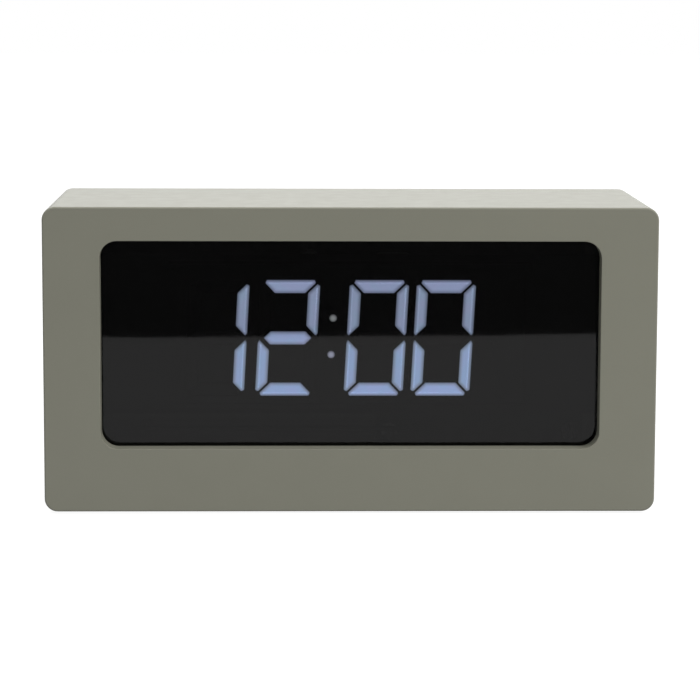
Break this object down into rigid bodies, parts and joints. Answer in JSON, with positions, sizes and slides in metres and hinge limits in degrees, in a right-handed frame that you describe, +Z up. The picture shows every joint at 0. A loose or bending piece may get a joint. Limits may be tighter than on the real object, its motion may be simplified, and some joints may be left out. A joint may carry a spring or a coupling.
{
  "type": "desk clock",
  "caption": "Box-shaped digital desk clock with a smoked window, a lit seven-segment display, rear buttons, an alarm switch, a power inlet and a battery bay.",
  "frame": {"origin": "on the surface that the clock stands on, under the middle of its case", "axes": "+X to the right for someone reading the clock, +Y from the front to the back, +Z up"},
  "size_m": [0.15, 0.06, 0.0757],
  "materials": {
    "case_plastic": "soft-touch paint",
    "button_plastic": "soft-touch paint",
    "smoked_pane": "polished",
    "black_tape": "matt",
    "black_foam": "foam",
    "black_block": "matt",
    "lit_diffuser": "glowing bluish white",
    "dark_diffuser": "unlit",
    "board": "lacquered laminate",
    "led_package": "plain",
    "chip_resin": "plain",
    "connector_plastic": "plain",
    "ribbon": "flexible",
    "can": "plain",
    "plated_steel": "nickel plated",
    "screw_steel": "zinc plated",
    "tongue_plastic": "plain",
    "cell_jacket": "plain film over steel",
    "red_lead": "insulated wire",
    "black_lead": "insulated wire",
    "foot_rubber": "matt"
  },
  "bodies": {
    "case": {"housing": "case_plastic", "rear_cover": "case_plastic", "display_lens": "smoked_pane", "lens_adhesive": "black_tape", "light_gasket": "black_foam", "digit_reflector": "black_block", "hour_tens_segments": "lit_diffuser", "hour_units_segments": "lit_diffuser", "minute_tens_segments": "lit_diffuser", "minute_units_segments": "lit_diffuser", "colon_dots": "lit_diffuser", "unlit_segments": "dark_diffuser", "display_board": "board", "led_chips": "led_package", "display_board_screws": "screw_steel", "display_connector": "connector_plastic", "control_connector": "connector_plastic", "ribbon_cable": "ribbon", "control_board": "board", "control_board_screws": "screw_steel", "controller_chip": "chip_resin", "clock_crystal": "can", "supply_capacitor": "can", "alarm_buzzer": "chip_resin", "usb_socket": "plated_steel", "usb_insert": "tongue_plastic", "switch_bodies": "chip_resin", "slide_switch_body": "chip_resin", "battery_cell_lower": "cell_jacket", "battery_cell_middle": "cell_jacket", "battery_cell_upper": "cell_jacket", "battery_contacts": "plated_steel", "battery_springs": "plated_steel", "battery_lead_positive": "red_lead", "battery_lead_negative": "black_lead", "rear_cover_screws": "screw_steel", "rubber_feet": "foot_rubber"},
    "battery_door": {"battery_door": "case_plastic"},
    "alarm_switch": {"alarm_switch_knob": "button_plastic"},
    "time_button": {"time_button": "button_plastic", "time_switch_plunger": "connector_plastic"},
    "alarm_button": {"alarm_button": "button_plastic", "alarm_switch_plunger": "connector_plastic"},
    "plus_button": {"plus_button": "button_plastic", "plus_switch_plunger": "connector_plastic"},
    "minus_button": {"minus_button": "button_plastic", "minus_switch_plunger": "connector_plastic"},
    "dimmer_button": {"dimmer_button": "button_plastic", "dimmer_switch_plunger": "connector_plastic"}
  },
  "joints": [
    {"name": "battery_door_tilt", "type": "hinge", "parent": "case", "child": "battery_door", "pos_m": [-0.024, 0.0285, 0.0075], "axis": [-1, 0, 0], "range_deg": [0, 60]},
    {"name": "alarm_switch_slide", "type": "slide", "parent": "case", "child": "alarm_switch", "axis": [1, 0, 0], "range_m": [0, 0.002]},
    {"name": "time_button_press", "type": "slide", "parent": "case", "child": "time_button", "axis": [0, -1, 0], "range_m": [0, 0.0003], "stiffness_N_per_m": 1500, "springref_m": -0.0005},
    {"name": "alarm_button_press", "type": "slide", "parent": "case", "child": "alarm_button", "axis": [0, -1, 0], "range_m": [0, 0.0003], "stiffness_N_per_m": 1500, "springref_m": -0.0005},
    {"name": "plus_button_press", "type": "slide", "parent": "case", "child": "plus_button", "axis": [0, -1, 0], "range_m": [0, 0.0003], "stiffness_N_per_m": 1500, "springref_m": -0.0005},
    {"name": "minus_button_press", "type": "slide", "parent": "case", "child": "minus_button", "axis": [0, -1, 0], "range_m": [0, 0.0003], "stiffness_N_per_m": 1500, "springref_m": -0.0005},
    {"name": "dimmer_button_press", "type": "slide", "parent": "case", "child": "dimmer_button", "axis": [0, -1, 0], "range_m": [0, 0.0003], "stiffness_N_per_m": 1500, "springref_m": -0.0005}
  ]
}
